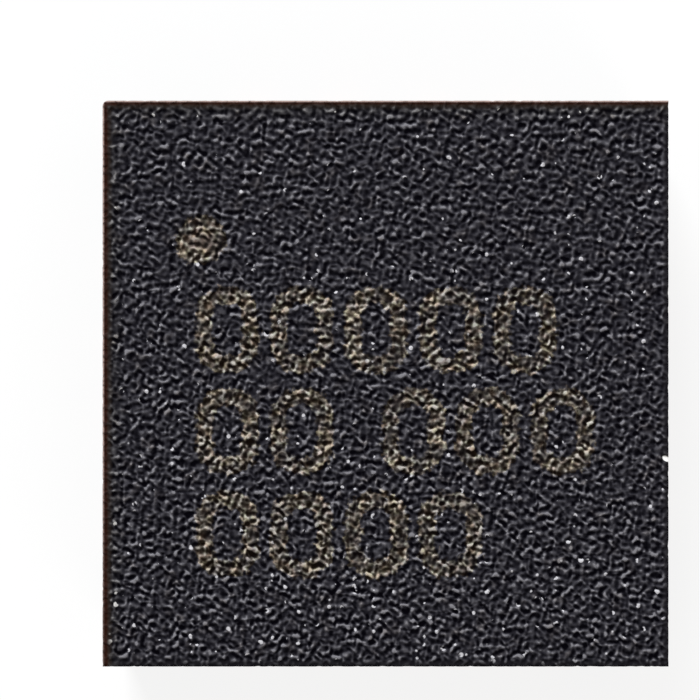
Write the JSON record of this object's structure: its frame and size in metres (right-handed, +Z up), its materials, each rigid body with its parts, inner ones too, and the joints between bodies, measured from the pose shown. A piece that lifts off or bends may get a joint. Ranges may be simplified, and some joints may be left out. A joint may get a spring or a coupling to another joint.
{
  "type": "integrated circuit",
  "caption": "Square leadless package: a sawn black moulded block with plated feet and a heat pad under it, holding a die and its bond wires.",
  "frame": {"origin": "centre of the underside, on the seating plane of the feet", "axes": "+Z up through the marked top face. Seen from above with +Y away, the laser dot and lead 1 are at the -X +Y corner, and the leads are numbered anticlockwise from there."},
  "size_m": [0.003, 0.003, 0.0009],
  "materials": {
    "mould": "silica-filled black epoxy, spark-eroded grain on top, sawn sides, smooth underside",
    "plated_copper": "matte tin plate on the feet and pad, bare copper where the saw cut",
    "glue": "silver-filled epoxy",
    "silicon": "passivated silicon",
    "gold_wire": "drawn gold wire"
  },
  "bodies": {
    "root": {"mould_body": "mould", "exposed_pad": "plated_copper", "die_attach": "glue", "silicon_die": "silicon", "lead_01": "plated_copper", "lead_02": "plated_copper", "lead_03": "plated_copper", "lead_04": "plated_copper", "lead_05": "plated_copper", "lead_06": "plated_copper", "lead_07": "plated_copper", "lead_08": "plated_copper", "lead_09": "plated_copper", "lead_10": "plated_copper", "lead_11": "plated_copper", "lead_12": "plated_copper", "lead_13": "plated_copper", "lead_14": "plated_copper", "lead_15": "plated_copper", "lead_16": "plated_copper", "bond_wire_01": "gold_wire", "bond_wire_02": "gold_wire", "bond_wire_03": "gold_wire", "bond_wire_04": "gold_wire", "bond_wire_05": "gold_wire", "bond_wire_06": "gold_wire", "bond_wire_07": "gold_wire", "bond_wire_08": "gold_wire", "bond_wire_09": "gold_wire", "bond_wire_10": "gold_wire", "bond_wire_11": "gold_wire", "bond_wire_12": "gold_wire", "bond_wire_13": "gold_wire", "bond_wire_14": "gold_wire", "bond_wire_15": "gold_wire", "bond_wire_16": "gold_wire"}
  },
  "joints": []
}
